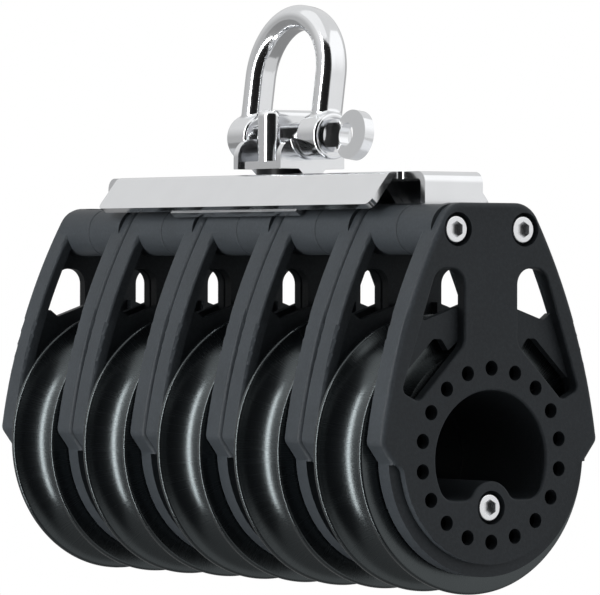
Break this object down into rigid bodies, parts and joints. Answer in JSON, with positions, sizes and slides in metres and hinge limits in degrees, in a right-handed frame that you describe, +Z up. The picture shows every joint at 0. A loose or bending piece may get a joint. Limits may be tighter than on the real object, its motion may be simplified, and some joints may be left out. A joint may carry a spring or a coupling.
{
  "type": "multi-sheave ball bearing block",
  "caption": "Row of rope sheaves on ball bearings, side by side between open-hubbed plastic cheeks, under a folded steel head strap with a swivelling bow shackle.",
  "frame": {"origin": "centre of the middle sheave, on the sheaves' common axis", "axes": "+X along the sheaves' axis towards the cheek nearest the camera, +Y across, +Z up to the shackle"},
  "size_m": [0.141, 0.057, 0.1223],
  "materials": {
    "stainless": "mirror polished",
    "swivel_washer": "satin",
    "fastener_steel": "bright",
    "cheek_plastic": "fine moulded grain",
    "sheave_plastic": "satin",
    "ball_plastic": "satin"
  },
  "bodies": {
    "shackle": {"shackle_bow": "stainless", "shackle_pin": "stainless"},
    "swivel": {"swivel_post": "stainless", "swivel_cradle": "stainless", "stud_nut": "stainless"},
    "block": {"swivel_washer": "swivel_washer", "head_strap": "stainless", "load_plate": "stainless", "cheek_1_near": "cheek_plastic", "cheek_1_far": "cheek_plastic", "cheek_2_near": "cheek_plastic", "cheek_2_far": "cheek_plastic", "cheek_3_near": "cheek_plastic", "cheek_3_far": "cheek_plastic", "cheek_4_near": "cheek_plastic", "cheek_4_far": "cheek_plastic", "cheek_5_near": "cheek_plastic", "cheek_5_far": "cheek_plastic", "head_bolts": "fastener_steel", "head_nuts": "fastener_steel", "hub_bolt": "fastener_steel", "hub_nut": "fastener_steel"},
    "sheave_1_body": {"sheave_1": "sheave_plastic"},
    "balls_1_body": {"balls_1": "ball_plastic"},
    "sheave_2_body": {"sheave_2": "sheave_plastic"},
    "balls_2_body": {"balls_2": "ball_plastic"},
    "sheave_3_body": {"sheave_3": "sheave_plastic"},
    "balls_3_body": {"balls_3": "ball_plastic"},
    "sheave_4_body": {"sheave_4": "sheave_plastic"},
    "balls_4_body": {"balls_4": "ball_plastic"},
    "sheave_5_body": {"sheave_5": "sheave_plastic"},
    "balls_5_body": {"balls_5": "ball_plastic"}
  },
  "joints": [
    {"name": "shackle_swing", "type": "hinge", "parent": "shackle", "child": "swivel", "pos_m": [0, 0, 0.0656], "axis": [1, 0, 0], "range_deg": [-102.5, 87.5]},
    {"name": "head_swivel", "type": "hinge", "parent": "swivel", "child": "block", "pos_m": [0, 0, 0.0575], "axis": [0, 0, 1], "continuous": true},
    {"name": "sheave_1_spin", "type": "hinge", "parent": "block", "child": "sheave_1_body", "pos_m": [0.0564, 0, 0], "axis": [1, 0, 0], "continuous": true},
    {"name": "balls_1_roll", "type": "hinge", "parent": "block", "child": "balls_1_body", "pos_m": [0.0564, 0, 0], "axis": [1, 0, 0], "continuous": true},
    {"name": "sheave_2_spin", "type": "hinge", "parent": "block", "child": "sheave_2_body", "pos_m": [0.0282, 0, 0], "axis": [1, 0, 0], "continuous": true},
    {"name": "balls_2_roll", "type": "hinge", "parent": "block", "child": "balls_2_body", "pos_m": [0.0282, 0, 0], "axis": [1, 0, 0], "continuous": true},
    {"name": "sheave_3_spin", "type": "hinge", "parent": "block", "child": "sheave_3_body", "pos_m": [0, 0, 0], "axis": [1, 0, 0], "continuous": true},
    {"name": "balls_3_roll", "type": "hinge", "parent": "block", "child": "balls_3_body", "pos_m": [0, 0, 0], "axis": [1, 0, 0], "continuous": true},
    {"name": "sheave_4_spin", "type": "hinge", "parent": "block", "child": "sheave_4_body", "pos_m": [-0.0282, 0, 0], "axis": [1, 0, 0], "continuous": true},
    {"name": "balls_4_roll", "type": "hinge", "parent": "block", "child": "balls_4_body", "pos_m": [-0.0282, 0, 0], "axis": [1, 0, 0], "continuous": true},
    {"name": "sheave_5_spin", "type": "hinge", "parent": "block", "child": "sheave_5_body", "pos_m": [-0.0564, 0, 0], "axis": [1, 0, 0], "continuous": true},
    {"name": "balls_5_roll", "type": "hinge", "parent": "block", "child": "balls_5_body", "pos_m": [-0.0564, 0, 0], "axis": [1, 0, 0], "continuous": true}
  ],
  "couplings": [
    {"joint": "balls_1_roll", "follows": "sheave_1_spin", "ratio": 0.5691},
    {"joint": "balls_2_roll", "follows": "sheave_2_spin", "ratio": 0.5691},
    {"joint": "balls_3_roll", "follows": "sheave_3_spin", "ratio": 0.5691},
    {"joint": "balls_4_roll", "follows": "sheave_4_spin", "ratio": 0.5691},
    {"joint": "balls_5_roll", "follows": "sheave_5_spin", "ratio": 0.5691}
  ]
}
